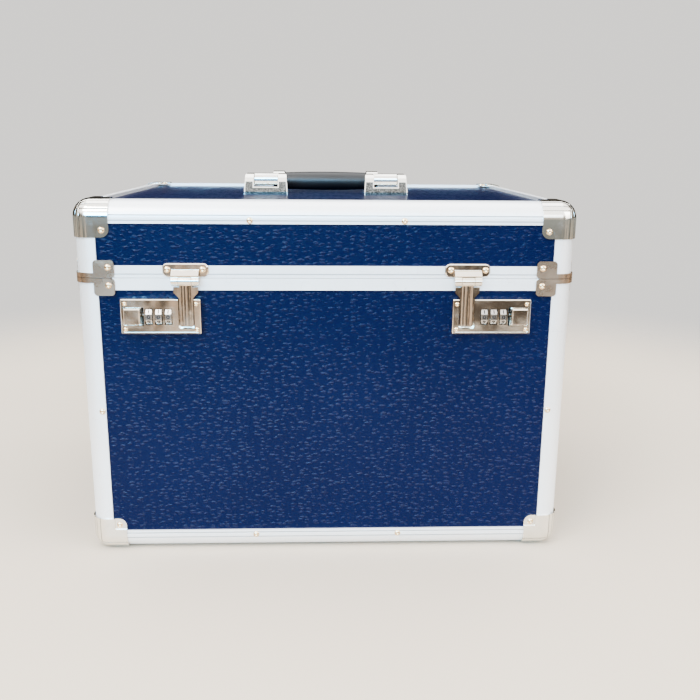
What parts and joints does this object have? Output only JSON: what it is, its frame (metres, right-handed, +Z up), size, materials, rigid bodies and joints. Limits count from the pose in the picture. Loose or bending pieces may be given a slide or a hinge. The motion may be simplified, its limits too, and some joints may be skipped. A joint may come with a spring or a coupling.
{
  "type": "grooming box",
  "caption": "Aluminium-framed grooming box with embossed blue panels, a hinged lid, combination latches, a folding handle and a lift-out tray inside.",
  "frame": {"origin": "on the floor under the middle of the box", "axes": "+X to the right seen from the front, +Y to the back, +Z up"},
  "size_m": [0.4048, 0.3142, 0.3153],
  "materials": {
    "panel": "laminated board with a glossy embossed blue face",
    "aluminium": "satin anodised extrusion",
    "chrome": "bright nickel plate",
    "rivet": "domed rivet heads",
    "lock": "bright plated lock metal",
    "dial": "plated number wheels with black figures",
    "steel": "plain steel",
    "lining": "thin dark foam lining",
    "grip": "soft black grip",
    "tray": "moulded black plastic"
  },
  "bodies": {
    "base": {"base_back_panel": "panel", "base_bottom_edges": "aluminium", "base_bottom_panel": "panel", "base_corner_back_left": "chrome", "base_corner_back_right": "chrome", "base_corner_front_left": "chrome", "base_corner_front_right": "chrome", "base_corner_posts": "aluminium", "base_front_panel": "panel", "base_left_panel": "panel", "base_lining": "lining", "base_right_panel": "panel", "base_rims": "aluminium", "base_rivets": "rivet", "base_seam_plates": "chrome", "button_spring_left": "steel", "button_spring_right": "steel", "hinge_leaves_base": "chrome", "hinge_pins": "steel", "lock_back_plates": "steel", "lock_case_left": "lock", "lock_case_right": "lock", "lock_spindle_left": "steel", "lock_spindle_right": "steel", "tray": "tray", "tray_dividers": "tray", "tray_ledges": "aluminium"},
    "lid": {"handle_brackets": "chrome", "handle_pins": "steel", "hinge_leaves_lid": "chrome", "latch_pins": "steel", "latch_plate_left": "chrome", "latch_plate_right": "chrome", "lid_back_panel": "panel", "lid_corner_back_left": "chrome", "lid_corner_back_right": "chrome", "lid_corner_front_left": "chrome", "lid_corner_front_right": "chrome", "lid_corner_posts": "aluminium", "lid_front_panel": "panel", "lid_left_panel": "panel", "lid_lining": "lining", "lid_right_panel": "panel", "lid_rims": "aluminium", "lid_rivets": "rivet", "lid_seam_plates": "chrome", "lid_top_edges": "aluminium", "lid_top_panel": "panel"},
    "handle": {"handle_arms": "chrome", "handle_grip": "grip"},
    "hasp_left": {"hasp_left": "chrome"},
    "button_left": {"button_left": "lock"},
    "dial_1_left": {"dial_1_left": "dial"},
    "dial_2_left": {"dial_2_left": "dial"},
    "dial_3_left": {"dial_3_left": "dial"},
    "hasp_right": {"hasp_right": "chrome"},
    "button_right": {"button_right": "lock"},
    "dial_1_right": {"dial_1_right": "dial"},
    "dial_2_right": {"dial_2_right": "dial"},
    "dial_3_right": {"dial_3_right": "dial"}
  },
  "joints": [
    {"name": "lid_hinge", "type": "hinge", "parent": "base", "child": "lid", "pos_m": [0, 0.153, 0.2372], "axis": [-1, 0, 0], "range_deg": [0, 100]},
    {"name": "handle_pivot", "type": "hinge", "parent": "lid", "child": "handle", "pos_m": [0, 0, 0.3086], "axis": [1, 0, 0], "range_deg": [0, 180]},
    {"name": "hasp_left_pivot", "type": "hinge", "parent": "lid", "child": "hasp_left", "pos_m": [-0.1124, -0.1544, 0.2356], "axis": [-1, 0, 0], "range_deg": [0, 135]},
    {"name": "dial_1_left_turn", "type": "hinge", "parent": "base", "child": "dial_1_left", "pos_m": [-0.1267, -0.1497, 0.2068], "axis": [1, 0, 0], "continuous": true},
    {"name": "dial_2_left_turn", "type": "hinge", "parent": "base", "child": "dial_2_left", "pos_m": [-0.1344, -0.1497, 0.2068], "axis": [1, 0, 0], "continuous": true},
    {"name": "dial_3_left_turn", "type": "hinge", "parent": "base", "child": "dial_3_left", "pos_m": [-0.1421, -0.1497, 0.2068], "axis": [1, 0, 0], "continuous": true},
    {"name": "button_left_slide", "type": "slide", "parent": "base", "child": "button_left", "axis": [1, 0, 0], "range_m": [0, 0.0022], "stiffness_N_per_m": 300, "springref_m": -0.002, "deforming": ["button_spring_left"]},
    {"name": "hasp_right_pivot", "type": "hinge", "parent": "lid", "child": "hasp_right", "pos_m": [0.1124, -0.1544, 0.2356], "axis": [-1, 0, 0], "range_deg": [0, 135]},
    {"name": "dial_1_right_turn", "type": "hinge", "parent": "base", "child": "dial_1_right", "pos_m": [0.1267, -0.1497, 0.2068], "axis": [1, 0, 0], "continuous": true},
    {"name": "dial_2_right_turn", "type": "hinge", "parent": "base", "child": "dial_2_right", "pos_m": [0.1344, -0.1497, 0.2068], "axis": [1, 0, 0], "continuous": true},
    {"name": "dial_3_right_turn", "type": "hinge", "parent": "base", "child": "dial_3_right", "pos_m": [0.1421, -0.1497, 0.2068], "axis": [1, 0, 0], "continuous": true},
    {"name": "button_right_slide", "type": "slide", "parent": "base", "child": "button_right", "axis": [-1, 0, 0], "range_m": [0, 0.0022], "stiffness_N_per_m": 300, "springref_m": -0.002, "deforming": ["button_spring_right"]}
  ]
}
